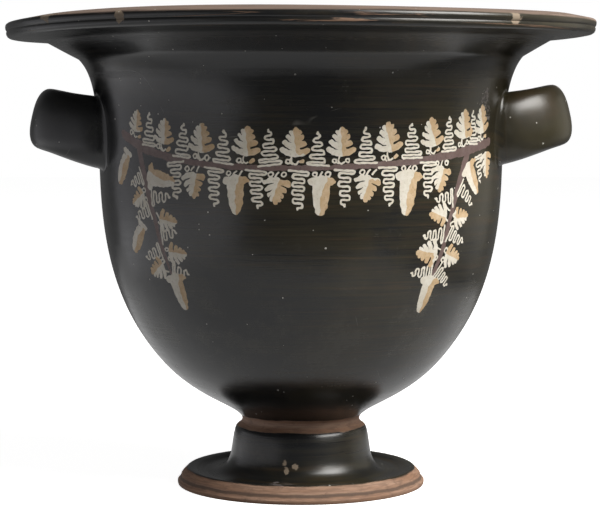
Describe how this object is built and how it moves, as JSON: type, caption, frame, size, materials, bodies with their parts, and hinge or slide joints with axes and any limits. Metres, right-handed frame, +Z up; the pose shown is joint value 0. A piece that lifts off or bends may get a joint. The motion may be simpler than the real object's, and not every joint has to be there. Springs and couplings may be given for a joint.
{
  "type": "greek krater",
  "caption": "Wheel-thrown bell krater with a flaring moulded lip, deep bell-shaped bowl, stemmed disc foot and two upturned strap handles.",
  "frame": {"origin": "centre of the foot's resting ring, on the surface the krater stands on", "axes": "+Z up along the wheel axis; the painted side faces -Y; the handles are on -X and +X"},
  "size_m": [0.353, 0.353, 0.2829],
  "materials": {
    "black_gloss": "glossy black slip, thin and worn at the edges",
    "reserved_clay": "bare fired orange-brown clay, matt",
    "painted_garland": "matt added white, ochre and purple-brown slip"
  },
  "bodies": {
    "root": {"krater": "black_gloss"}
  },
  "joints": []
}
